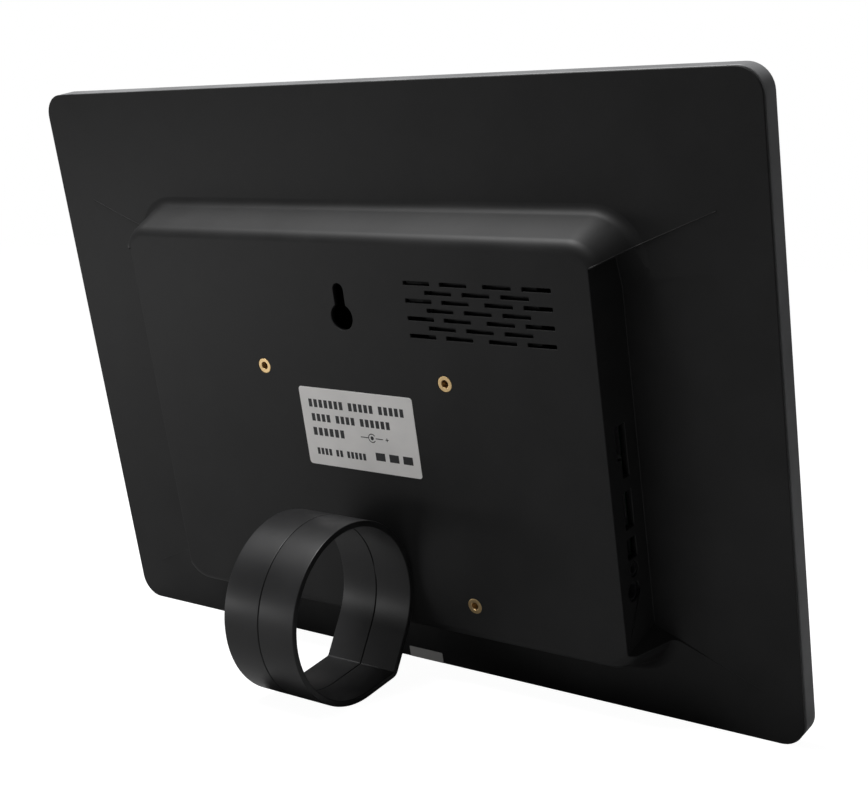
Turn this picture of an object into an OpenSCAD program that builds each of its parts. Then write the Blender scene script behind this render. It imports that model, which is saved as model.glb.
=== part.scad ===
// Tabletop digital photo frame, 15.4 inch, with a ring stand that screws into its back.
//
// Every piece is drawn in the frame's own axes: x to the right as seen from behind, y up along
// the face, z out of the back, with z = 0 on the rim of the rear cover. The module "leaned"
// then sets it down on the table: screen towards -Y, back towards +Y, +Z up, and the origin
// under the middle of the object.

/* [Screen] */
// Width of the picture
screen_w = 331.4; // [270:0.1:420]
// Height of the picture
screen_h = 207.1; // [195:0.1:270]
// Border of the front bezel left and right of the picture
border_x = 22.3; // [20:0.1:30]
// Border of the front bezel above and below the picture
border_y = 29.45; // [26:0.05:40]
// Width of the display module beyond the picture, each side
module_margin = 6.3; // [3:0.1:8]
// Thickness of the display's glass cell
glass_t = 1.2; // [0.8:0.1:2]

/* [Case] */
// Radius of the frame's corners
corner_r = 10.5; // [5:0.5:18]
// Depth of the edge, from the front face to the rear rim
edge_t = 10.6; // [10.6:0.1:16]
// Thickness of the bezel's front face
face_t = 1.6; // [1.2:0.1:2.5]
// Thickness of the bezel's side walls
side_t = 2; // [1.5:0.1:3]
// Wall of the rear cover
wall = 2.2; // [1.8:0.1:3]
// Height of the bead round the rear cover's rim
bead_t = 1; // [0.6:0.1:1.6]
// Height of the shadow gap between the bead and the bezel
gap_t = 1.5; // [0.8:0.1:2]
// Depth of the shadow gap
gap_depth = 0.9; // [0.4:0.1:1.5]
// Angle that the frame leans back on its stand
lean = 14.5; // [10:0.5:18]

/* [Electronics hump] */
// Height of the hump's flat back above the rim
hump_h = 20.7; // [19:0.1:26]
// Distance from the hump's flat back to the sides of the frame
hump_side = 64.6; // [60:0.1:80]
// Distance from the hump's flat back to the top of the frame
hump_above = 63.3; // [55:0.1:75]
// Distance from the hump's flat back to the bottom of the frame
hump_below = 34.5; // [30:0.1:44]
// Corner radius of the hump's flat back
hump_corner_r = 9; // [4:0.5:12]
// Radius of the rounded edge of the hump
hump_edge_r = 5.5; // [3:0.5:8]
// Radius of the fillet at the hump's foot
hump_foot_r = 5; // [2:0.5:6]
// Steepness of the hump's sloping sides
hump_slope = 70; // [60:1:75]
// Depth of the side pockets at the hump, below the back of the case
pocket_deep = 1.4; // [0.6:0.1:1.5]
// Reach of the side pockets from the hump's flat back
pocket_reach = 50; // [40:1:54]

/* [Mounts] */
// Spacing of the four screw inserts for a wall bracket
vesa_pitch = 100; // [75:25:100]
// Height of the lower inserts above the bottom of the hump
vesa_up = 11.7; // [8:0.1:20]
// Radius of the inserts' threaded hole
vesa_hole_r = 1.65; // [1.25:0.05:2]
// Outer radius of the inserts
vesa_insert_r = 3.5; // [3:0.1:4.5]
// Length of the inserts
vesa_insert_l = 8; // [5:0.5:9]
// Radius of the keyhole's round end
key_r = 5.8; // [4.5:0.1:7]
// Radius of the keyhole's narrow end
key_neck_r = 2.75; // [2:0.05:3.5]
// Distance between the keyhole's two centres
key_run = 12; // [8:0.5:16]

/* [Ring stand] */
// Outer radius of the ring
ring_r = 39; // [30:0.5:48]
// Width of the ring
ring_w = 38; // [28:1:50]
// Wall of the ring
ring_t = 2.6; // [2.5:0.1:4]
// Radius of the screw stud
stud_r = 3; // [2.5:0.1:3.5]
// Clearance of the stud in its insert
stud_clear = 0.05; // [0.02:0.01:0.1]
// Length of the stud inside the insert
stud_l = 7; // [5:0.5:9]
// Thickness of the washer under the ring
washer_t = 1; // [0.6:0.1:2]

/* [Keys] */
// Length of a push key
key_l = 8.4; // [6:0.1:9]
// Width of a push key
key_w = 4.2; // [3:0.1:6]
// Travel of a push key
key_travel = 0.5; // [0.2:0.05:0.8]
// Clearance round a push key
key_clear = 0.35; // [0.3:0.05:0.5]
// Spacing of the push keys
key_pitch = 12; // [11:0.5:13]

/* [Hidden] */
$fn = 48;
tiny = 0.02;
keys = ["power", "menu", "exit", "up", "down", "left", "right"];

// Outline and levels of the case
frame_w = screen_w + 2 * border_x;
frame_h = screen_h + 2 * border_y;
front_z = -edge_t;
seam_z = -bead_t - gap_t;
display_z = front_z + face_t;
display_t = 4.5;
display_w = screen_w + 2 * module_margin;
display_h = screen_h + 2 * module_margin;

// The hump: its flat back, its sides, and the pockets for connectors and keys
hump_x = frame_w / 2 - hump_side;
hump_top = frame_h / 2 - hump_above;
hump_bottom = -frame_h / 2 + hump_below;
slope_top = hump_h - hump_edge_r * (1 - cos(hump_slope));
slope_foot = hump_foot_r * (1 - cos(hump_slope));
slope_run = (slope_top - slope_foot) / tan(hump_slope);
foot_d = hump_edge_r * sin(hump_slope) + slope_run + hump_foot_r * sin(hump_slope);
pocket_x = hump_x + 0.4;
pocket_draft = 0.4;
pocket_out = hump_x + pocket_reach;
pocket_flare = 21;
pocket_end = 6.2;
pocket_end_draft = 12;
ceiling = hump_h - wall;
inner_x = pocket_x - wall;
key_hole_y = hump_top - 31.1;
vesa_low = hump_bottom + vesa_up;
vesa_mid = vesa_low + vesa_pitch / 2;

// Standing on the table: the stand's height follows from the lean
contact = -frame_h / 2 * cos(lean);
ring_gap = 0.3;
ring_face = hump_h + ring_gap + washer_t;
ring_z = ring_face + ring_r;
ring_y = (contact + ring_r + ring_z * sin(lean)) / cos(lean);
front_y = -frame_h / 2 * sin(lean) + front_z * cos(lean);
back_y = ring_y * sin(lean) + ring_z * cos(lean) + ring_r;

// Boards and what is on them
board_t = 1.6;
board_z = 5;
board_top = board_z + board_t;
board_x0 = 12;
board_x1 = inner_x - 1;
board_y0 = ring_y + 3;
board_y1 = board_y0 + 78;
port_y = board_y1 - 5.6;
screw_r = 1.5;
post_r = 3;
posts = [for (x = [board_x0 + 5, board_x1 - 22], y = [board_y0 + 5, board_y1 - 5]) [x, y]];
socket_x = inner_x - 0.3;
// Each socket: centre below port_y, width, height, depth
usb = [6.1, 13.1, 6.6, 14];
mini_usb = [16.9, 7.7, 3.9, 9];
hdmi = [34.6, 15, 5.6, 11.5];
av_jack = [51, 8, 6, 12];
phone_jack = [60.2, 7, 6, 12];
dc_jack = [69.2, 9, 9.4, 13];
jack_hole_r = 1.8;
dc_hole_r = 3.1;
dc_pin_r = 1.05;
vent_x = hump_x - 52.4;
vent_y = hump_top - 25.7;
speaker_w = 52;
speaker_h = 30;
speaker_t = 6;
key_inset = 9;
key_z = 9.5;
key_board_x = -inner_x + 7.2;
key_board_h = key_pitch * len(keys) + 6;
key_board_y = hump_bottom + 50.5;
card_y = key_board_y - 23;
card_w = 25.2;
card_slot_t = 2.8;
card_z = 8;

// Sets a piece down on the table, leaning back
module leaned() {
    translate([0, -(front_y + back_y) / 2, -contact]) rotate([90 + lean, 0, 180]) children();
}

// The hump's side from the flat back outwards: [distance, height]. It is a rounded edge, a steep
// slope and a fillet at the foot.
function side_points(steps = 10) = concat(
    [for (i = [0 : steps]) let (a = hump_slope * i / steps)
        [hump_edge_r * sin(a), hump_h - hump_edge_r * (1 - cos(a))]],
    [for (i = [0 : steps - 1]) let (a = hump_slope * (1 - i / steps))
        [foot_d - hump_foot_r * sin(a), hump_foot_r * (1 - cos(a))]],
    [[foot_d + 0.5, -0.3]]);

// A rectangle with round corners, drawn on x and y
module rounded(w, h, r) {
    union() {
        square([w - 2 * r, h], center = true);
        square([w, h - 2 * r], center = true);
        for (x = [-1, 1], y = [-1, 1])
            translate([x * (w / 2 - r), y * (h / 2 - r)]) circle(r);
    }
}

module outline(inset) {
    rounded(frame_w - 2 * inset, frame_h - 2 * inset, corner_r - inset);
}

// A profile drawn as [across, height], made a bar along y
module along_y(y0, y1) {
    translate([0, y1, 0]) rotate([90, 0, 0]) linear_extrude(y1 - y0) children();
}

// A profile drawn as [up, height], made a bar along x
module along_x(x0, x1) {
    translate([x0, 0, 0]) rotate([90, 0, 90]) linear_extrude(x1 - x0) children();
}

// ---- front ----

module front_bezel() {
    color("#3a3b3d") leaned() difference() {
        union() {
            difference() {
                translate([0, 0, front_z]) linear_extrude(seam_z - front_z) outline(0);
                translate([0, 0, display_z]) linear_extrude(edge_t) outline(side_t);
            }
            for (p = bracket_points())
                translate([p[0], p[1], display_z - tiny]) cylinder(r = post_r, h = display_t + tiny);
        }
        translate([-screen_w / 2 - 1, -screen_h / 2 - 1, front_z - 1])
            cube([screen_w + 2, screen_h + 2, edge_t]);
        for (p = bracket_points())
            translate([p[0], p[1], display_z + 0.6]) cylinder(r = screw_r, h = edge_t);
        translate([0, -frame_h / 2 + border_y / 2, front_z - 1])
            cylinder(r = 2.5, h = face_t + 2);
    }
}

function bracket_points() = [for (x = [-1, 1], y = [-1, 1])
    [x * (display_w / 2 + post_r + 1.2), y * display_h / 4]];

module lcd_glass() {
    color("#0b0c0e") leaned() translate([-display_w / 2, -display_h / 2, display_z])
        cube([display_w, display_h, glass_t]);
}

// Metal tray with the light guide in it
module lcd_backlight() {
    color("#b9bcc0") leaned() translate([-display_w / 2, -display_h / 2, display_z + glass_t])
        cube([display_w, display_h, display_t - glass_t]);
}

module lcd_brackets() {
    bracket_t = 0.8;
    reach = 16;
    color("#c4c7ca") leaned() for (side = [-1, 1]) {
        x_out = display_w / 2 + 2 * post_r + 1.2;
        difference() {
            translate([side * (x_out - reach / 2) - reach / 2, -display_h * 0.32, display_z + display_t])
                cube([reach, display_h * 0.64, bracket_t]);
            for (p = bracket_points())
                translate([p[0], p[1], display_z]) cylinder(r = screw_r + 0.2, h = display_t * 2);
        }
    }
}

// A pan-head screw whose head sits on z = 0 and whose shank goes down
module screw(length) {
    cylinder(r = 2.6, h = 1);
    translate([0, 0, -length]) cylinder(r = screw_r, h = length + tiny);
}

module bracket_screws() {
    color("#9a9da1") leaned() for (p = bracket_points())
        translate([p[0], p[1], display_z + display_t + 0.8]) screw(4);
}

// Dark lens over the remote-control sensor, in the middle of the lower border
module ir_window() {
    color("#1c0f14") leaned() translate([0, -frame_h / 2 + border_y / 2, front_z + 0.1])
        cylinder(r = 2.5, h = face_t + 0.8);
}

// ---- rear cover ----

module hump() {
    side = side_points();
    across = hump_x - hump_corner_r;
    // Upper and lower sides
    along_x(-across, across) polygon(concat(
        [for (p = side) [hump_top + p[0], p[1]]],
        [for (i = [len(side) - 1 : -1 : 0]) [hump_bottom - side[i][0], side[i][1]]]));
    // Middle, out past the walls of the pockets
    along_y(hump_bottom + hump_corner_r, hump_top - hump_corner_r) polygon(concat(
        [for (p = side) [hump_x + p[0], p[1]]],
        [for (i = [len(side) - 1 : -1 : 0]) [-hump_x - side[i][0], side[i][1]]]));
    // Four corners
    for (sx = [0, 1]) mirror([sx, 0, 0])
        for (c = [[0, hump_top - hump_corner_r], [-90, hump_bottom + hump_corner_r]])
            translate([across, c[1], 0]) rotate([0, 0, c[0]]) rotate_extrude(angle = 90)
                polygon(concat([[0, -0.3], [0, hump_h]],
                    [for (p = side) [p[0] + hump_corner_r, p[1]]]));
}

// Wall and floor of a side pocket: [distance from the middle, height]
function pocket_points(steps = 8) = let (foot = pocket_x + pocket_draft) concat(
    [[pocket_x - pocket_draft / hump_h, hump_h + 1]],
    [for (i = [0 : steps]) let (u = i / steps)
        [foot + u * (pocket_out - foot), -pocket_deep * pow(1 - u, 2)]]);

// The room above a pocket's floor. Both its ends flare, and the lower one leans back too.
module pocket_cut() {
    half = frame_h;
    x0 = pocket_x - 2;
    x1 = pocket_out + 2;
    flare = pocket_flare / (pocket_out - x0);
    intersection() {
        along_y(-frame_h, frame_h) polygon(concat(pocket_points(),
            [[pocket_out + 1, tiny], [pocket_out + 1, hump_h + 1]]));
        translate([0, 0, -hump_h]) linear_extrude(3 * hump_h) polygon([
            [x0, hump_top - pocket_end], [x1, hump_top - pocket_end + flare * (x1 - x0)],
            [x1, hump_top - half], [x0, hump_top - half]]);
        translate([x0, hump_bottom + pocket_end, hump_h / 2]) rotate([pocket_end_draft, 0, 0])
            translate([0, 0, -2 * hump_h]) linear_extrude(4 * hump_h) polygon([
                [0, 0], [x1 - x0, -flare * (x1 - x0)], [x1 - x0, half], [0, half]]);
    }
}

// The cavity: the hump's own shape, a wall thickness inside it
module cavity() {
    inner = [for (p = side_points()) if (p[1] > 1) [p[0] - wall * 0.8, p[1] - wall]];
    along_x(-inner_x, inner_x) polygon(concat(
        [[hump_top + inner[len(inner) - 1][0], seam_z - 1]],
        [for (i = [len(inner) - 1 : -1 : 0]) [hump_top + inner[i][0], inner[i][1]]],
        [for (p = inner) [hump_bottom - p[0], p[1]]],
        [[hump_bottom - inner[len(inner) - 1][0], seam_z - 1]]));
}

// A box-shaped opening through a side wall, at +x or -x
module side_slot(side, y, z, w, h) {
    translate([side > 0 ? inner_x - 1 : -pocket_x - pocket_draft - 1, y - w / 2, z - h / 2])
        cube([wall + pocket_draft + 2, w, h]);
}

module side_bore(y, z, r) {
    translate([inner_x - 1, y, z]) rotate([0, 90, 0]) cylinder(r = r, h = wall + pocket_draft + 2);
}

// Seven rows of short slots, four and three in turn
module vent() {
    rows = 7;
    row_pitch = 3.72;
    slot_l = 13.2;
    slot_w = 1.7;
    four = [-28.8, -10.5, 10.5, 28.8];
    three = [-18.5, 0, 18.5];
    for (i = [0 : rows - 1])
        for (x = i % 2 == 0 ? four : three)
            translate([vent_x + x, vent_y + (i - (rows - 1) / 2) * row_pitch, hump_h])
                cube([slot_l, slot_w, 4 * wall], center = true);
}

function vesa_points() = [for (x = [-1, 1], y = [0, 1])
    [x * vesa_pitch / 2, vesa_low + y * vesa_pitch]];

function key_at(i) = key_board_y + key_inset + i * key_pitch;

// Where the two small boards on the key side are screwed down
function side_posts() = [[-inner_x + 30, card_y + 13], [-inner_x + 30, card_y - 13]];

module rear_cover() {
    color("#1d1e20") leaned() difference() {
        union() {
            translate([0, 0, -bead_t]) linear_extrude(bead_t) outline(0);
            translate([0, 0, seam_z]) linear_extrude(gap_t + tiny) outline(gap_depth);
            // Tongue inside the bezel
            translate([0, 0, seam_z - 2.5]) linear_extrude(2.5 + tiny) difference() {
                outline(side_t + 0.1);
                outline(side_t + 1.5);
            }
            intersection() {
                hump();
                translate([0, 0, -0.5]) linear_extrude(hump_h + 1) outline(0);
            }
        }
        for (sx = [0, 1]) mirror([sx, 0, 0]) pocket_cut();
        difference() {
            cavity();
            for (p = vesa_points())
                translate([p[0], p[1], hump_h - vesa_insert_l])
                    cylinder(r = vesa_insert_r + 2, h = vesa_insert_l + 1);
            translate([0, ring_y, hump_h - stud_l - 1])
                cylinder(r = stud_r + 4.2, h = stud_l + 2);
            for (p = posts)
                translate([p[0], p[1], board_top]) cylinder(r = post_r, h = hump_h);
            for (p = side_posts())
                translate([p[0], p[1], card_z - 1.6]) cylinder(r = post_r, h = hump_h);
        }
        for (p = vesa_points())
            translate([p[0], p[1], 0]) cylinder(r = vesa_insert_r, h = 2 * hump_h);
        translate([0, ring_y, 0]) cylinder(r = stud_r + 2, h = 2 * hump_h);
        for (p = posts)
            translate([p[0], p[1], board_top - 1]) cylinder(r = screw_r, h = 7);
        for (p = side_posts())
            translate([p[0], p[1], card_z - 2.6]) cylinder(r = screw_r, h = 7);
        // Keyhole
        translate([0, key_hole_y, ceiling - 1]) cylinder(r = key_r, h = 3 * wall);
        translate([0, key_hole_y + key_run, ceiling - 1]) cylinder(r = key_neck_r, h = 3 * wall);
        translate([-key_neck_r, key_hole_y, ceiling - 1]) cube([2 * key_neck_r, key_run, 3 * wall]);
        vent();
        // Sockets on one side
        for (s = [usb, mini_usb, hdmi, av_jack])
            side_slot(1, port_y - s[0], board_top + s[2] / 2, s[1] + 0.6, s[2] + 0.6);
        side_bore(port_y - phone_jack[0], board_top + phone_jack[2] / 2, 3.2);
        side_bore(port_y - dc_jack[0], board_top + dc_jack[2] / 2, 4.2);
        // Keys and the card slot on the other
        for (i = [0 : len(keys) - 1])
            side_slot(-1, key_at(i), key_z, key_l + 2 * key_clear, key_w + 2 * key_clear);
        side_slot(-1, card_y, card_z + 1.6, card_w, card_slot_t);
    }
}

module vesa_inserts() {
    color("#c49a55") leaned() for (p = vesa_points())
        translate([p[0], p[1], hump_h - vesa_insert_l]) difference() {
            cylinder(r = vesa_insert_r, h = vesa_insert_l);
            translate([0, 0, -1]) cylinder(r = vesa_hole_r, h = vesa_insert_l + 2);
        }
}

module stand_insert() {
    color("#c49a55") leaned() translate([0, ring_y, hump_h - stud_l - 1]) difference() {
        cylinder(r = stud_r + 2, h = stud_l + 1);
        translate([0, 0, -1]) cylinder(r = stud_r + stud_clear, h = stud_l + 3);
    }
}

module rating_label() {
    label_w = 62.9;
    label_h = 36.3;
    color("#cdcbc8") leaned() translate([0, vesa_mid + 24.1, hump_h])
        linear_extrude(0.15) rounded(label_w, label_h, 1.5);
}

// Small blank seal over the seam at the bottom edge
module seal_sticker() {
    seal_w = 19;
    seal_h = 5.2;
    color("#d8d8d6") leaned() translate([1.4, -frame_h / 2 + seal_h / 2 + 0.2, 0.05])
        linear_extrude(0.15) rounded(seal_w, seal_h, 0.6);
}

// ---- boards ----

module main_board() {
    color("#1f5c3a") leaned() difference() {
        translate([board_x0, board_y0, board_z])
            cube([board_x1 - board_x0, board_y1 - board_y0, board_t]);
        for (p = posts) translate([p[0], p[1], board_z - 1]) cylinder(r = screw_r, h = 4);
    }
}

module board_screws() {
    color("#9a9da1") leaned() for (p = posts)
        translate([p[0], p[1], board_z]) mirror([0, 0, 1]) screw(board_t + 4);
}

// A part on the main board, placed from its lower left corner
module on_board(x, y, w, h, t) {
    translate([board_x0 + x, board_y0 + y, board_top]) cube([w, h, t]);
}

module main_chip() {
    color("#18191b") leaned() on_board(38, 34, 20, 20, 1.6);
}

module memory_chips() {
    color("#202124") leaned() {
        on_board(38, 60, 11, 8, 1.1);
        on_board(20, 36, 12, 18, 1.1);
        on_board(64, 40, 5, 6, 1.4);
    }
}

module capacitors() {
    color("#b8bbc0") leaned() for (p = [[20, 14], [32, 14], [44, 14], [72, 22], [72, 34]])
        translate([board_x0 + p[0], board_y0 + p[1], board_top]) cylinder(r = 3.2, h = 7);
}

module power_coils() {
    color("#3b3c40") leaned() {
        on_board(54, 10, 7, 7, 3.5);
        on_board(54, 22, 7, 7, 3.5);
    }
}

// Socket that the panel's ribbon plugs into
module panel_plug() {
    color("#e6e2d4") leaned() on_board(3, 24, 5, 26, 4);
}

// Flat ribbon from the panel plug round the board's edge to the back of the display
module panel_cable() {
    t = 0.4;
    z0 = display_z + display_t + 0.1;
    z1 = board_top + 1.6;
    x1 = board_x0 + 3;
    x0 = board_x0 - 6;
    color("#c9a04a") leaned() along_y(board_y0 + 27, board_y0 + 47) polygon([
        [x1, z1], [x0, z1], [x0, z0], [x0 - 20, z0], [x0 - 20, z0 + t],
        [x0 - t, z0 + t], [x0 - t, z1 + t], [x1, z1 + t]]);
}

// A rectangular socket with a tongue, standing on the main board against the side wall
module socket(s, shell, tongue) {
    inner_w = s[1] - 2 * shell;
    inner_h = s[2] - 2 * shell;
    translate([socket_x - s[3], port_y - s[0] - s[1] / 2, board_top]) {
        difference() {
            cube([s[3], s[1], s[2]]);
            translate([2, shell, shell]) cube([s[3], inner_w, inner_h]);
        }
        translate([1, s[1] * 0.14, s[2] / 2 - tongue / 2]) cube([s[3] - 2, s[1] * 0.72, tongue]);
    }
}

module usb_socket() { color("#c7cacd") leaned() socket(usb, 0.4, 1.8); }
module mini_usb_socket() { color("#c7cacd") leaned() socket(mini_usb, 0.4, 0.9); }
module hdmi_socket() { color("#c7cacd") leaned() socket(hdmi, 0.4, 1.4); }
module av_jack() { color("#232427") leaned() socket(av_jack, 0.8, 1); }

// A round socket: a block with a nose that reaches through the side wall
module round_socket(s, nose_r, hole_r, nose_l, tone) {
    color(tone) leaned() translate([socket_x - s[3], port_y - s[0], board_top + s[2] / 2]) difference() {
        union() {
            translate([0, -s[1] / 2, -s[2] / 2]) cube([s[3], s[1], s[2]]);
            rotate([0, 90, 0]) cylinder(r = nose_r, h = s[3] + nose_l);
        }
        translate([1.5, 0, 0]) rotate([0, 90, 0]) cylinder(r = hole_r, h = s[3] + nose_l);
    }
}

module headphone_jack() { round_socket(phone_jack, 2.9, jack_hole_r, 2, "#1b1c1e"); }

module dc_socket() {
    round_socket(dc_jack, 3.9, dc_hole_r, 1.6, "#1b1c1e");
    color("#c7cacd") leaned() translate([socket_x - dc_jack[3] + 1, port_y - dc_jack[0], board_top + dc_jack[2] / 2])
        rotate([0, 90, 0]) cylinder(r = dc_pin_r, h = dc_jack[3] - 2);
}

// ---- sound ----

module speaker() {
    color("#2a2b2e") leaned() translate([vent_x, vent_y, ceiling - 1 - speaker_t]) {
        linear_extrude(speaker_t) rounded(speaker_w, speaker_h, 6);
        translate([0, 0, -4]) cylinder(r = 11, h = 4 + tiny);
    }
}

module speaker_gasket() {
    color("#111214") leaned() translate([vent_x, vent_y, ceiling - 1]) linear_extrude(1) difference() {
        rounded(speaker_w + 4, speaker_h, 6);
        rounded(speaker_w - 4, speaker_h - 6, 4);
    }
}

module speaker_wires() {
    wire_r = 0.6;
    color("#a02c2c") leaned() for (i = [0, 1])
        translate([vent_x - 18 - 3 * i, board_y1 - 6, board_top + 1]) {
            rotate([-90, 0, 0]) cylinder(r = wire_r, h = vent_y - speaker_h / 2 + 7 - board_y1);
            translate([0, vent_y - speaker_h / 2 + 7 - board_y1, -wire_r])
                cylinder(r = wire_r, h = ceiling - 1 - speaker_t - board_top - 1 + wire_r);
        }
}

// ---- keys and card slot ----

module key_board() {
    color("#1f5c3a") leaned() translate([key_board_x, key_board_y - 3, key_z - 7])
        cube([board_t, key_board_h, 14]);
}

module key_switches() {
    switch_w = 6;
    color("#2c2d30") leaned() for (i = [0 : len(keys) - 1]) difference() {
        translate([key_board_x - 3.5, key_at(i) - switch_w / 2, key_z - switch_w / 2])
            cube([3.5, switch_w, switch_w]);
        translate([key_board_x - 4, key_at(i), key_z]) rotate([0, 90, 0]) cylinder(r = 1.95, h = 2);
    }
}

// A push key: cap through the wall, flange inside it, and the plunger of its switch
module push_key(i) {
    cap_out = pocket_x + 2.2;
    flange_x = inner_x - 0.35;
    color("#2b2c2f") leaned() translate([0, key_at(i), key_z]) {
        translate([-cap_out, -key_l / 2, -key_w / 2]) cube([cap_out - flange_x + 1, key_l, key_w]);
        translate([-flange_x, -key_l / 2 - 0.9, -key_w / 2 - 0.9]) cube([1, key_l + 1.8, key_w + 1.8]);
        translate([-flange_x, 0, 0]) rotate([0, 90, 0])
            cylinder(r = 1.6, h = key_board_x - 3.5 + flange_x + 0.35);
    }
}

// Flat ribbon from the key board to the main board
module key_cable() {
    t = 0.4;
    x0 = key_board_x + board_t;
    y0 = key_board_y + 30;
    color("#d9d6cc") leaned() along_y(y0, y0 + 10) polygon([
        [x0, 12], [x0, 12 - t], [x0 + 3, 12 - t], [x0 + 3, board_z - 1 - t],
        [board_x0 + 12, board_z - 1 - t], [board_x0 + 12, board_z], [board_x0 + 12 - t, board_z],
        [board_x0 + 12 - t, board_z - 1], [x0 + 3 + t, board_z - 1], [x0 + 3 + t, 12]]);
}

module card_board() {
    color("#1f5c3a") leaned() difference() {
        translate([-inner_x + 1, card_y - 17, card_z - 3.2]) cube([34, 34, board_t]);
        for (p = side_posts()) translate([p[0], p[1], 0]) cylinder(r = screw_r, h = card_z);
    }
}

module card_socket() {
    color("#c7cacd") leaned() difference() {
        translate([-inner_x + 0.3, card_y - 14, card_z - 1.6]) cube([27, 28, 4.4]);
        translate([-inner_x - 1, card_y - card_w / 2 + 0.6, card_z + 0.6])
            cube([26, card_w - 1.2, card_slot_t - 0.8]);
        for (p = side_posts()) translate([p[0], p[1], 0]) cylinder(r = post_r + 0.3, h = hump_h);
    }
}

module side_board_screws() {
    color("#9a9da1") leaned() for (p = side_posts())
        translate([p[0], p[1], card_z - 3.2]) mirror([0, 0, 1]) screw(board_t + 4);
}

// ---- ring stand ----

// Outline of the ring in [depth, height]: a circle drawn out into one rounded corner at the
// lower front, whose flat sole lies square to the back
function ring_outline(r, steps = 96) = let (
        sole_a = -90,
        wall_a = -142,
        corner_a = (sole_a + wall_a) / 2,
        corner_r = 1.5 + (r - ring_r + ring_t),
        reach = (r - corner_r) / cos((sole_a - wall_a) / 2))
    concat([for (i = [0 : steps]) let (a = sole_a + (360 - sole_a + wall_a) * i / steps)
            [r * cos(a), r * sin(a)]],
        [for (i = [0 : 6]) let (a = wall_a + (sole_a - wall_a) * i / 6)
            [reach * cos(corner_a) + corner_r * cos(a), reach * sin(corner_a) + corner_r * sin(a)]]);

// A ring section of the stand between two stations along the ring's axis
module ring_section(x0, x1, inner_r, outer_r) {
    translate([x0, ring_y, ring_z]) rotate([0, 90, 0]) rotate([0, 0, 90])
        linear_extrude(x1 - x0) difference() {
            polygon([for (p = ring_outline(outer_r)) [p[1], p[0]]]);
            polygon([for (p = ring_outline(inner_r)) [p[1], p[0]]]);
        }
}

dowel_r = 0.7;
dowel_l = 8;
function dowel_angles() = [20, 100, 300];

module ring_dowel_at(a, r, l) {
    d = ring_r - ring_t / 2;
    translate([-l / 2, ring_y + d * sin(a), ring_z + d * cos(a)]) rotate([0, 90, 0])
        cylinder(r = r, h = l);
}

// Half of the ring: the half at +x when side is 1, at -x when it is -1
module ring_half(side) {
    boss_r = 7.5;
    edge = 0.4;
    flange_z = ring_face + 0.7;
    color("#212224") leaned() difference() {
        union() {
            ring_section(side > 0 ? edge : -ring_w / 2, side > 0 ? ring_w / 2 : -edge,
                ring_r - ring_t, ring_r);
            ring_section(side > 0 ? 0 : -edge - tiny, side > 0 ? edge + tiny : 0,
                ring_r - ring_t + 0.3, ring_r - 0.3);
            intersection() {
                translate([0, ring_y, ring_face]) cylinder(r = boss_r, h = ring_t);
                translate([side > 0 ? 0 : -boss_r, ring_y - boss_r, ring_face])
                    cube([boss_r, 2 * boss_r, ring_t]);
            }
        }
        translate([0, ring_y, ring_face - 1]) cylinder(r = stud_r + 0.02, h = 2);
        translate([0, ring_y, flange_z]) cylinder(r = 5.5, h = 1.2);
        for (a = dowel_angles()) ring_dowel_at(a, dowel_r, dowel_l);
    }
}

module ring_left() { ring_half(1); }
module ring_right() { ring_half(-1); }

module ring_dowels() {
    color("#8f9296") leaned() for (a = dowel_angles()) ring_dowel_at(a, dowel_r, dowel_l);
}

// Screw stud whose flange is held between the ring's two halves
module stand_stud() {
    color("#9a9da1") leaned() translate([0, ring_y, 0]) {
        translate([0, 0, hump_h - stud_l]) cylinder(r = stud_r, h = stud_l + ring_face - hump_h + 1);
        translate([0, 0, ring_face + 0.7]) cylinder(r = 5.5, h = 1.2);
    }
}

module stand_washer() {
    color("#0f1011") leaned() translate([0, ring_y, hump_h + ring_gap]) difference() {
        cylinder(r = 8, h = washer_t - 0.3);
        translate([0, 0, -1]) cylinder(r = stud_r + 0.3, h = washer_t + 2);
    }
}

front_bezel();
lcd_glass();
lcd_backlight();
lcd_brackets();
bracket_screws();
ir_window();
rear_cover();
vesa_inserts();
stand_insert();
main_board();
board_screws();
main_chip();
memory_chips();
capacitors();
power_coils();
panel_plug();
panel_cable();
usb_socket();
mini_usb_socket();
hdmi_socket();
av_jack();
headphone_jack();
dc_socket();
speaker();
speaker_gasket();
speaker_wires();
key_board();
key_switches();
key_cable();
card_board();
card_socket();
side_board_screws();
rating_label();
seal_sticker();
for (i = [0 : len(keys) - 1])
    push_key(i);
stand_washer();
ring_left();
ring_right();
ring_dowels();
stand_stud();
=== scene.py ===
"""A tabletop digital photo frame seen from behind: slim case, electronics hump, ring stand."""
import math

import bmesh
import bpy
from mathutils import Matrix, Vector


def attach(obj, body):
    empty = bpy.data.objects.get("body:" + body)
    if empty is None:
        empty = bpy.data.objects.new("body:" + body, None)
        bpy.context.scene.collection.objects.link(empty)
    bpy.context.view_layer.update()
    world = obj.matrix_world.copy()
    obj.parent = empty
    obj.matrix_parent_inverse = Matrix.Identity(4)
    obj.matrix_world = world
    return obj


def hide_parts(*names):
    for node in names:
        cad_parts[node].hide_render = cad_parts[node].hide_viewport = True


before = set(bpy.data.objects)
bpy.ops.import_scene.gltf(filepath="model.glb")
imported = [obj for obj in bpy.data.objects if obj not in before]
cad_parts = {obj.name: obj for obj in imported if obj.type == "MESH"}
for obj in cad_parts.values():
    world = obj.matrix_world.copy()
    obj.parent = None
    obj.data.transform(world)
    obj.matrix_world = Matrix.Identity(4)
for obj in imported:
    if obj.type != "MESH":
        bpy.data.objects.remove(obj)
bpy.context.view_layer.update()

MM = 0.001
LEAN = math.radians(14.5)
HOME_Y = -0.017615
HOME_Z = 0.133 * math.cos(LEAN)

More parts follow.
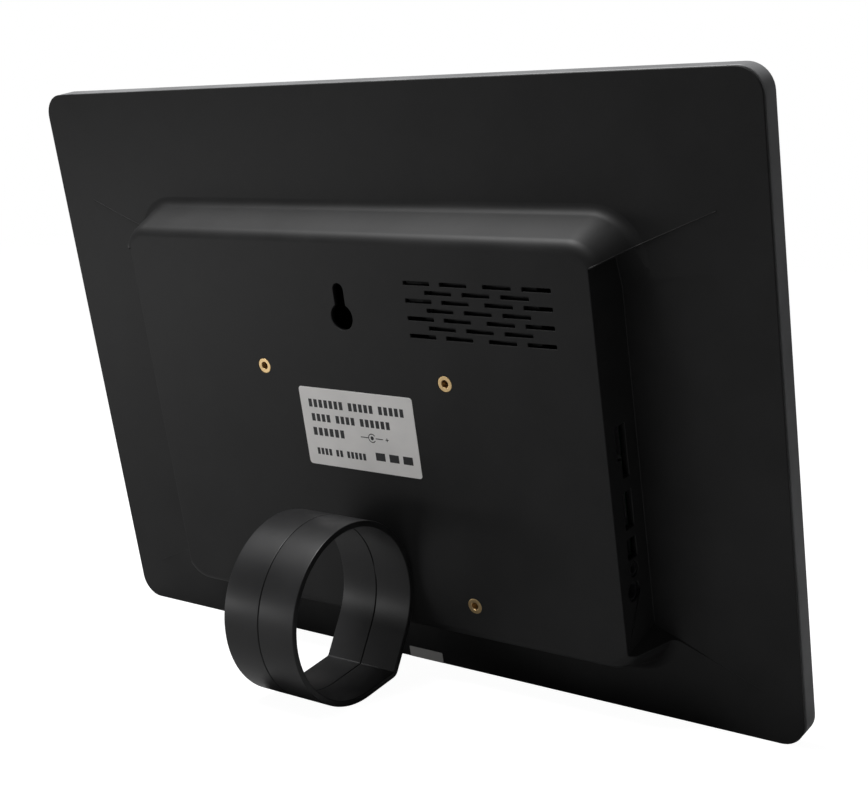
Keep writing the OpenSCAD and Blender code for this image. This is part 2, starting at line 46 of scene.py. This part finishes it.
# The frame's own axes: x to the right as seen from behind, y up along the face, z out of the
# back, with z = 0 on the rim of the cover. HOME sets them down on the table, leaning back.
HOME = (Matrix.Translation((0, HOME_Y, HOME_Z)) @ Matrix.Rotation(math.pi, 4, "Z")
        @ Matrix.Rotation(math.radians(90) + LEAN, 4, "X"))
HOME_INVERSE = HOME.inverted()


def at(x, y, z=0.0):
    """A point in the frame's own axes, in millimetres."""
    return HOME @ (Vector((x, y, z)) * MM)


# ---------------------------------------------------------------------------------------------
# Camera. It stands behind the frame, to the right of the ring, at the height of the inserts,
# and looks a little down.
# ---------------------------------------------------------------------------------------------
CAMERA_AT = Vector((-0.4257, 0.5085, 0.2043))
CAMERA_AIM = Vector((-0.01725, -0.03043, 0.12717))
CAMERA_ROLL = math.radians(1.28)
CAMERA_LENS = 64.58

camera = bpy.data.objects.new("camera", bpy.data.cameras.new("camera"))
bpy.context.scene.collection.objects.link(camera)
camera.data.lens = CAMERA_LENS
camera.data.sensor_width = 36
camera.data.clip_start = 0.01
facing = (CAMERA_AIM - CAMERA_AT).to_track_quat("-Z", "Y").to_matrix().to_4x4()
camera.matrix_world = (Matrix.Translation(CAMERA_AT) @ facing
                       @ Matrix.Rotation(CAMERA_ROLL, 4, "Z"))
bpy.context.scene.camera = camera


# ---------------------------------------------------------------------------------------------
# Materials are written as sums: a Wire is one output of a node, and an expression on Wires adds
# its Math nodes. A Finish is one material, with its shader and its Object coordinates.
# ---------------------------------------------------------------------------------------------
class Wire:
    def __init__(self, finish, socket):
        self.finish = finish
        self.socket = socket

    def maths(self, operation, *values):
        sockets = {i: v for i, v in enumerate(values)}
        return self.finish.node("Math", {"operation": operation}, sockets)

    def __add__(self, other):
        return self.maths("ADD", self, other)

    def __radd__(self, other):
        return self.maths("ADD", other, self)

    def __mul__(self, other):
        return self.maths("MULTIPLY", self, other)

    def between(self, low, high):
        """0 at low and 1 at high, cut off at both ends."""
        sockets = {"Value": self, "From Min": low, "From Max": high}
        return self.finish.node("MapRange", {"clamp": True}, sockets)


class Finish:
    def __init__(self, name, colour, roughness, **uniform):
        self.material = bpy.data.materials.new(name)
        self.material.use_nodes = True
        self.tree = self.material.node_tree
        self.shader = self.tree.nodes["Principled BSDF"]
        self.set("Base Color", (*colour, 1))
        self.set("Roughness", roughness)
        for socket, value in uniform.items():
            self.set(socket.replace("_", " "), value)
        self.place = self.node("TexCoord", {}, {}, "Object")

    def node(self, kind, settings, sockets, output=0):
        """A node of any kind: its settings first, then what goes into its sockets."""
        made = self.tree.nodes.new("ShaderNode" + kind)
        for key, value in settings.items():
            setattr(made, key, value)
        for key, value in sockets.items():
            if isinstance(value, Wire):
                self.tree.links.new(value.socket, made.inputs[key])
            else:
                made.inputs[key].default_value = value
        return Wire(self, made.outputs[output])

    def set(self, socket, value):
        if isinstance(value, Wire):
            self.tree.links.new(value.socket, self.shader.inputs[socket])
        else:
            self.shader.inputs[socket].default_value = value

    def noise(self, size, detail=2.0):
        """Soft mottling whose patches are about that size, in metres."""
        sockets = {"Vector": self.place, "Scale": 1 / size, "Detail": detail}
        return self.node("TexNoise", {}, sockets, "Fac")

    def mix(self, share, first, second):
        """Colour first where share is 0 and colour second where it is 1."""
        pad = [v if isinstance(v, Wire) else (*v, 1) for v in (first, second)]
        sockets = {0: share, 6: pad[0], 7: pad[1]}
        return self.node("Mix", {"data_type": "RGBA"}, sockets, 2)

    def bump(self, height, depth, strength=1.0):
        """Relief: height runs from 0 to 1 and depth is its real size, in metres."""
        sockets = {"Height": height, "Distance": depth, "Strength": strength}
        self.set("Normal", self.node("Bump", {}, sockets, "Normal"))


def dress(piece, finish):
    piece.data.materials.clear()
    piece.data.materials.append(finish.material)


# ---------------------------------------------------------------------------------------------
# How a moulded or pressed piece is finished: the outline that the drawing gives, with every
# sharp edge broken by a small radius.
# ---------------------------------------------------------------------------------------------
def piece_from(name, bm, body, finish):
    """A bmesh made a piece that rides on a body."""
    bmesh.ops.recalc_face_normals(bm, faces=bm.faces)
    mesh = bpy.data.meshes.new(name)
    bm.to_mesh(mesh)
    bm.free()
    made = bpy.data.objects.new(name, mesh)
    bpy.context.scene.collection.objects.link(made)
    dress(made, finish)
    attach(made, body)
    return made


def broken_edges(piece, radius):
    """Rounds a piece's marked edges and keeps its flat faces flat."""
    piece.data.polygons.foreach_set("use_smooth", [True] * len(piece.data.polygons))
    bevel = piece.modifiers.new("edges", "BEVEL")
    bevel.width = radius
    bevel.segments = 3
    bevel.limit_method = "WEIGHT"
    bevel.use_clamp_overlap = False
    bevel.miter_outer = "MITER_ARC"
    weigh = piece.modifiers.new("flats", "WEIGHTED_NORMAL")
    weigh.keep_sharp = True
    weigh.weight = 100


def cut_flats(bm, cuts):
    """Cuts flat faces through the middle of their holes, and joins all other loose triangles,
    so that no flat face has a hole in it. A cut is (axis, place in mm, test of a face). Without
    cuts the triangles are only joined in pairs."""
    if not cuts:
        bmesh.ops.join_triangles(bm, faces=bm.faces, angle_face_threshold=math.radians(0.3),
                                 angle_shape_threshold=math.pi)
        return
    for axis, place, wanted in cuts:
        faces = [f for f in bm.faces if wanted(HOME_INVERSE @ f.calc_center_median() / MM)]
        geometry = {g for f in faces for g in (f, *f.edges, *f.verts)}
        cut = bmesh.ops.bisect_plane(bm, geom=list(geometry), dist=0.0005 * MM,
                                     plane_co=HOME @ (axis * place * MM),
                                     plane_no=HOME.to_3x3() @ axis)
        for edge in cut["geom_cut"]:
            if isinstance(edge, bmesh.types.BMEdge):
                edge.seam = True
    bmesh.ops.dissolve_limit(bm, angle_limit=math.radians(0.3), verts=bm.verts, edges=bm.edges,
                             delimit={"SEAM"})


def moulded(node, body, finish, radius, angle=24, cuts=(), hidden=None):
    """A piece of a CAD node's own shape, its loose triangles joined and its edges broken."""
    bm = bmesh.new()
    bm.from_mesh(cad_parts[node].data)
    bmesh.ops.remove_doubles(bm, verts=bm.verts, dist=0.002 * MM)
    cut_flats(bm, cuts)
    weights = bm.edges.layers.float.new("bevel_weight_edge")
    for edge in bm.edges:
        middle = HOME_INVERSE @ ((edge.verts[0].co + edge.verts[1].co) / 2) / MM
        sharp = edge.calc_face_angle(0) > math.radians(angle)
        edge[weights] = float(sharp and not (hidden and hidden(middle)))
    made = piece_from(node + "_moulded", bm, body, finish)
    broken_edges(made, radius)
    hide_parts(node)


def cad_piece(node, finish):
    """A CAD node that is shown as it is, with its own finish."""
    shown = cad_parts[node]
    shown.data.polygons.foreach_set("use_smooth", [False] * len(shown.data.polygons))
    dress(shown, finish)


# ---------------------------------------------------------------------------------------------
# Rear cover: one moulding in black plastic with a fine spark-eroded grain, which is what
# makes it matt. It snaps into the bezel.
# ---------------------------------------------------------------------------------------------
def matt_plastic(name, colour, roughness, grain=0.35, depth=0.012):
    made = Finish(name, colour, roughness)
    speckle = made.noise(grain * MM, 3.0)
    cloud = made.noise(22 * MM, 3.0)
    wipe = made.noise(4 * MM, 2.0)
    lighter = tuple(c * 1.35 + 0.001 for c in colour)
    darker = tuple(c * 0.8 for c in colour)
    made.set("Base Color", made.mix(cloud.between(0.3, 0.7) * 0.6 + speckle * 0.4, darker, lighter))
    made.set("Roughness", roughness - 0.05 + cloud * 0.06 + wipe * 0.04)
    made.bump(speckle, depth * MM, 0.6)
    return made


cover_plastic = matt_plastic("cover_plastic", (0.013, 0.013, 0.0132), 0.55)
cover_plastic.set("Specular IOR Level", 0.25)
X = Vector((1, 0, 0))
Y = Vector((0, 1, 0))


def anywhere(p):
    return True


def port_wall(p):
    return 121 < p.x < 124.7


def key_wall(p):
    return -124.7 < p.x < -121


def flat_back(p):
    return abs(p.x) < 122 and p.z > 15


def keyhole_side(p):
    return abs(p.x) < 30 and p.z > 15


def inside_cover(p):
    return abs(p.x) < 121.7 and p.z < 18.6 and -111 < p.y < 82


vent_cuts = [(Y, 44.0 + 3.72 * i, flat_back) for i in range(-3, 4)]
hole_cuts = [(Y, y, flat_back) for y in (-86.8, -76.94, 13.2)] + [(Y, 38.6, keyhole_side)]
port_cuts = [(Y, y, port_wall) for y in (-7.64, -18.44, -36.14, -52.54, -61.74, -70.74)]
key_cuts = [(Y, y, key_wall) for y in (-71.0, -39.0, -27.0, -15.0, -3.0, 9.0, 21.0, 33.0)]
moulded("rear_cover", "frame", cover_plastic, 0.3 * MM,
        cuts=vent_cuts + hole_cuts + port_cuts + key_cuts, hidden=inside_cover)


# A fine lip runs along the upper end of each side pocket, over the hump's corner and out to the
# case's back, where it dies away. These are the hump's sizes, in millimetres.
HUMP_H = 20.7
EDGE_R = 5.5
FOOT_R = 5.0
SLOPE = math.radians(70)
FOOT_D = 14.89


def hump_height(distance):
    """Height of the hump's side at a distance from its flat back, all in millimetres."""
    rounded = EDGE_R * math.sin(SLOPE)
    filleted = FOOT_D - FOOT_R * math.sin(SLOPE)
    if distance <= 0:
        return HUMP_H
    if distance < rounded:
        return HUMP_H - EDGE_R + math.sqrt(EDGE_R ** 2 - distance ** 2)
    if distance < filleted:
        top = HUMP_H - EDGE_R * (1 - math.cos(SLOPE))
        return top - (distance - rounded) * math.tan(SLOPE)
    if distance < FOOT_D:
        return FOOT_R - math.sqrt(FOOT_R ** 2 - (FOOT_D - distance) ** 2)
    return 0.0


bm = bmesh.new()
STATIONS = 40
LIP_FROM = 124.1
LIP_LENGTH = 43
LIP_RISE = 0.407
CORNER_CENTRE = Vector((114.4, 60.7))
CORNER_R = 9
for side in (-1, 1):
    rings = []
    for i in range(STATIONS + 1):
        x = LIP_FROM + LIP_LENGTH * (i / STATIONS) ** 1.3
        y = 63.5 + LIP_RISE * (x - 121.8)
        z = hump_height((Vector((x, y)) - CORNER_CENTRE).length - CORNER_R)
        radius = 0.36 * (1 - 0.5 * i / STATIONS)
        turn = Matrix.Rotation(math.radians(90), 4, "Y")
        seat = HOME @ Matrix.Translation(Vector((x * side, y, z)) * MM) @ turn
        ring = bmesh.ops.create_circle(bm, segments=8, radius=radius * MM, matrix=seat)
        rings.append(ring["verts"])
    for first, second in zip(rings, rings[1:]):
        edges = {e for v in (*first, *second) for e in v.link_edges
                 if e.verts[0] in first and e.verts[1] in first
                 or e.verts[0] in second and e.verts[1] in second}
        bmesh.ops.bridge_loops(bm, edges=list(edges))
    for cap in (rings[0], rings[-1]):
        bmesh.ops.contextual_create(bm, geom=cap)
pocket_lips = piece_from("pocket_lips", bm, "frame", cover_plastic)
pocket_lips.data.polygons.foreach_set("use_smooth", [True] * len(pocket_lips.data.polygons))


# ---------------------------------------------------------------------------------------------
# Front bezel: a frame in dark grey plastic, smoother than the cover. Its side wall is the grey
# band round the edge.
# ---------------------------------------------------------------------------------------------
bezel_plastic = matt_plastic("bezel_plastic", (0.165, 0.166, 0.17), 0.42, 0.2, 0.004)
bezel_plastic.set("Specular IOR Level", 0.3)
moulded("front_bezel", "frame", bezel_plastic, 0.5 * MM, 60,
        cuts=[(X, 0, anywhere), (Y, 0, anywhere)])


# ---------------------------------------------------------------------------------------------
# Display: a dark glass cell, switched off, on a tray whose back has a black insulating film. Two
# steel brackets hold it.
# ---------------------------------------------------------------------------------------------
screen_glass = Finish("screen_glass", (0.006, 0.006, 0.008), 0.12, Coat_Weight=0.6)
screen_glass.set("Roughness", 0.1 + screen_glass.noise(30 * MM) * 0.08)
cad_piece("lcd_glass", screen_glass)


def plain_metal(name, colour, roughness, grain=0.4):
    made = Finish(name, colour, roughness, Metallic=1.0)
    stain = made.noise(6 * MM, 4.0)
    darker = tuple(c * 0.72 for c in colour)
    made.set("Base Color", made.mix(stain.between(0.35, 0.75), colour, darker))
    made.set("Roughness", roughness + stain * 0.14)
    made.bump(made.noise(grain * MM, 2.0), 0.006 * MM, 0.5)
    return made


tray_metal = plain_metal("tray_metal", (0.55, 0.56, 0.57), 0.38)
screw_steel = plain_metal("screw_steel", (0.45, 0.45, 0.46), 0.3)
tray_film = matt_plastic("tray_film", (0.012, 0.012, 0.013), 0.5)
cad_piece("lcd_backlight", tray_film)
cad_piece("lcd_brackets", tray_metal)
for node in ("bracket_screws", "board_screws", "side_board_screws", "ring_dowels", "stand_stud"):
    cad_piece(node, screw_steel)

sensor_lens = Finish("sensor_lens", (0.02, 0.004, 0.008), 0.08, Coat_Weight=1.0)
sensor_lens.set("Roughness", 0.06 + sensor_lens.noise(1 * MM) * 0.06)
cad_piece("ir_window", sensor_lens)


# ---------------------------------------------------------------------------------------------
# Wall inserts and the stand's insert: turned brass, pressed into the cover.
# ---------------------------------------------------------------------------------------------
insert_brass = plain_metal("insert_brass", (0.92, 0.66, 0.34), 0.32, 0.15)
depth_axis = HOME.to_3x3() @ Vector((0, 0, 1))
along = insert_brass.node("VectorMath", {"operation": "DOT_PRODUCT"},
                          {0: insert_brass.place, 1: depth_axis}, "Value")
THREAD_PITCH = 0.7 * MM
thread = along.maths("SINE", along * (math.tau / THREAD_PITCH))
insert_brass.bump(thread * 0.5 + 0.5, 0.12 * MM, 0.8)
for node in ("vesa_inserts", "stand_insert"):
    moulded(node, "frame", insert_brass, 0.25 * MM, 40,
            cuts=[(X, x, anywhere) for x in (-50, 0, 50)])


# ---------------------------------------------------------------------------------------------
# Boards and what stands on them, seen only through the vent and the sockets' openings.
# ---------------------------------------------------------------------------------------------
circuit_board = Finish("circuit_board", (0.01, 0.07, 0.03), 0.35, Coat_Weight=0.3)
track = circuit_board.noise(1.4 * MM, 1.0).between(0.52, 0.56)
circuit_board.set("Base Color", circuit_board.mix(track, (0.008, 0.06, 0.025), (0.02, 0.13, 0.06)))
circuit_board.bump(track, 0.03 * MM)
chip_plastic = matt_plastic("chip_plastic", (0.015, 0.015, 0.016), 0.5, 0.3)
can_metal = plain_metal("can_metal", (0.6, 0.6, 0.62), 0.25)
white_plastic = matt_plastic("white_plastic", (0.6, 0.57, 0.48), 0.45, 0.4)
ribbon = matt_plastic("ribbon", (0.45, 0.28, 0.07), 0.3, 0.6)
socket_metal = plain_metal("socket_metal", (0.6, 0.6, 0.61), 0.25)
speaker_black = matt_plastic("speaker_black", (0.02, 0.02, 0.022), 0.5)
foam = matt_plastic("foam", (0.008, 0.008, 0.008), 0.9, 0.5, 0.08)
wire_sheath = matt_plastic("wire", (0.3, 0.02, 0.02), 0.4, 0.8)
inside = {
    circuit_board: ("main_board", "key_board", "card_board"),
    chip_plastic: ("main_chip", "memory_chips", "power_coils", "av_jack", "headphone_jack",
                   "dc_socket", "key_switches"),
    can_metal: ("capacitors",),
    white_plastic: ("panel_plug",),
    ribbon: ("panel_cable", "key_cable"),
    socket_metal: ("usb_socket", "mini_usb_socket", "hdmi_socket", "card_socket"),
    speaker_black: ("speaker",),
    foam: ("speaker_gasket", "stand_washer"),
    wire_sheath: ("speaker_wires",),
}
for finish, nodes in inside.items():
    for node in nodes:
        cad_piece(node, finish)


# ---------------------------------------------------------------------------------------------
# Rating label and the small seal: silver film.
# ---------------------------------------------------------------------------------------------
label_silver = Finish("label_silver", (0.9, 0.88, 0.86), 0.5)
haze = label_silver.noise(14 * MM, 3.0)
label_silver.set("Base Color", label_silver.mix(haze.between(0.3, 0.7), (0.94, 0.92, 0.9),
                                                (0.86, 0.845, 0.83)))
label_silver.set("Roughness", 0.42 + label_silver.noise(3 * MM) * 0.12)
cad_piece("rating_label", label_silver)

seal_film = Finish("seal_film", (0.6, 0.59, 0.58), 0.45)
seal_film.set("Roughness", 0.4 + seal_film.noise(2 * MM) * 0.15)
cad_piece("seal_sticker", seal_film)

LABEL_Y = -12.7
LABEL_TOP = HUMP_H + 0.15


def ink_block(bm, x, y, w, h, z=LABEL_TOP):
    """A block of ink whose lower left corner is at x, y."""
    corners = [bm.verts.new(at(x + dx, y + dy, z + 0.02)) for dx, dy in
               ((0, 0), (w, 0), (w, h), (0, h))]
    bm.faces.new(corners)


def ink_ring(bm, x, y, radius, width, start, sweep):
    """Part of a round line, spun from one short edge."""
    middle = at(x, y, LABEL_TOP + 0.02)
    ends = [bm.verts.new(at(x + (radius + r) * math.cos(start), y + (radius + r) * math.sin(start),
                            LABEL_TOP + 0.02)) for r in (-width / 2, width / 2)]
    edge = bm.edges.new(ends)
    bmesh.ops.spin(bm, geom=[*ends, edge], cent=middle, axis=HOME.to_3x3() @ Vector((0, 0, 1)),
                   angle=sweep, steps=24)


# Each row is a height, a start, a letter size and the lengths of its words. The words are plain
# blocks and say nothing.
ROWS = ((9.0, -26.8, (2.89, 3.7), (7, 5, 5)), (2.5, -26.2, (2.86, 3.5), (4, 4, 6)),
        (-4.2, -26.5, (3.1, 3.7), (6,)), (-13.2, -26.0, (2.25, 3.1), (4, 2, 5)))
bm = bmesh.new()
for rise, left, (wide, tall), words in ROWS:
    x = left
    for letters in words:
        for i in range(letters):
            ink_block(bm, x, LABEL_Y + rise, wide * 0.68, tall)
            x += wide
        x += wide * 0.8
for x, w in ((0.5, 4.4), (8.8, 4.0)):
    ink_block(bm, x, LABEL_Y - 2.5, w, 0.4)
ink_ring(bm, 6.8, LABEL_Y - 2.3, 1.9, 0.4, math.radians(35), math.radians(290))
ink_ring(bm, 6.8, LABEL_Y - 2.3, 0.45, 0.9, 0, math.tau)
ink_block(bm, 14.2, LABEL_Y - 2.5, 1.6, 0.4)
ink_block(bm, 14.8, LABEL_Y - 3.1, 0.4, 1.6)
for x in (7.4, 14.9, 22.4):
    ink_block(bm, x, LABEL_Y - 12.4, 5.2, 3.6)
ink = Finish("label_ink", (0.02, 0.02, 0.022), 0.5)
ink.set("Roughness", 0.45 + ink.noise(1 * MM) * 0.15)
piece_from("label_print", bm, "frame", ink)


# ---------------------------------------------------------------------------------------------
# Push keys: seven black caps in the pocket on the far side.
# ---------------------------------------------------------------------------------------------
key_plastic = matt_plastic("key_plastic", (0.02, 0.02, 0.021), 0.42)
for name in ("power", "menu", "exit", "up", "down", "left", "right"):
    moulded("key_" + name, "key_" + name + "_body", key_plastic, 0.4 * MM, 60)


# ---------------------------------------------------------------------------------------------
# Ring stand: two half rings in satin black plastic, joined round the middle.
# ---------------------------------------------------------------------------------------------
def between_halves(p):
    return abs(p.x) < 9 and (abs(p.x) < 0.9 or p.z < 26)


ring_plastic = matt_plastic("ring_plastic", (0.012, 0.012, 0.0125), 0.36, 0.3, 0.004)
ring_plastic.set("Specular IOR Level", 0.35)
for node in ("ring_left", "ring_right"):
    moulded(node, "ring", ring_plastic, 0.35 * MM, hidden=between_halves)


# ---------------------------------------------------------------------------------------------
# Floor and light: a pale table in a white room, a broad soft light from the left and above.
# ---------------------------------------------------------------------------------------------
def area_light(name, at, aim, size, power):
    light = bpy.data.lights.new(name, "AREA")
    light.shape = "RECTANGLE"
    light.size, light.size_y = size
    light.energy = power
    lamp = bpy.data.objects.new(name, light)
    bpy.context.scene.collection.objects.link(lamp)
    lamp.matrix_world = (Matrix.Translation(at)
                         @ (aim - at).to_track_quat("-Z", "Y").to_matrix().to_4x4())


middle = Vector((0, 0, 0.13))
area_light("key_softbox", Vector((0.3, 0.3, 1.3)), middle, (0.6, 0.4), 24)
area_light("upper_left", Vector((0.47, 0.47, 0.98)), middle, (0.45, 0.45), 0.9)
area_light("left_low", Vector((0.55, 0.28, 0.06)), Vector((0.14, 0.0, 0.08)), (0.3, 0.1), 0.13)
area_light("left_floor", Vector((0.36, 0.3, 0.03)), Vector((0.15, 0.0, 0.05)), (0.2, 0.05), 0.19)


class Backdrop(Finish):
    """A surface that is plain white itself and throws only a little light back."""
    def __init__(self, name, white, pale, thrown):
        super().__init__(name, (pale, pale, pale), 0.7)
        self.set("Roughness", 0.65 + self.noise(0.2) * 0.1)
        self.set("Emission Color", (1, 1, 1, 1))
        self.set("Emission Strength", white)
        dull = self.node("BsdfDiffuse", {}, {"Color": (thrown, thrown, thrown, 1)})
        seen = self.node("LightPath", {}, {}, "Is Camera Ray")
        mixed = self.node("MixShader", {}, {0: seen, 1: dull,
                                            2: Wire(self, self.shader.outputs[0])})
        self.tree.links.new(mixed.socket, self.tree.nodes["Material Output"].inputs["Surface"])


bm = bmesh.new()
bmesh.ops.create_grid(bm, x_segments=1, y_segments=1, size=6)
floor_mesh = bpy.data.meshes.new("floor")
bm.to_mesh(floor_mesh)
bm.free()
floor = bpy.data.objects.new("floor", floor_mesh)
bpy.context.scene.collection.objects.link(floor)
dress(floor, Backdrop("floor_pale", 0.97, 0.2, 0.3))

world = bpy.data.worlds.new("room")
bpy.context.scene.world = world
world.use_nodes = True
room = world.node_tree
sky = room.nodes["Background"]
sky.inputs["Color"].default_value = (1, 1, 1, 1)
sky.inputs["Strength"].default_value = 0.12
seen = room.nodes.new("ShaderNodeBackground")
seen.inputs["Color"].default_value = (1, 1, 1, 1)
rays = room.nodes.new("ShaderNodeLightPath")
either = room.nodes.new("ShaderNodeMixShader")
room.links.new(rays.outputs["Is Camera Ray"], either.inputs["Fac"])
room.links.new(sky.outputs[0], either.inputs[1])
room.links.new(seen.outputs[0], either.inputs[2])
room.links.new(either.outputs[0], room.nodes["World Output"].inputs["Surface"])
bpy.context.scene.view_settings.view_transform = "Standard"
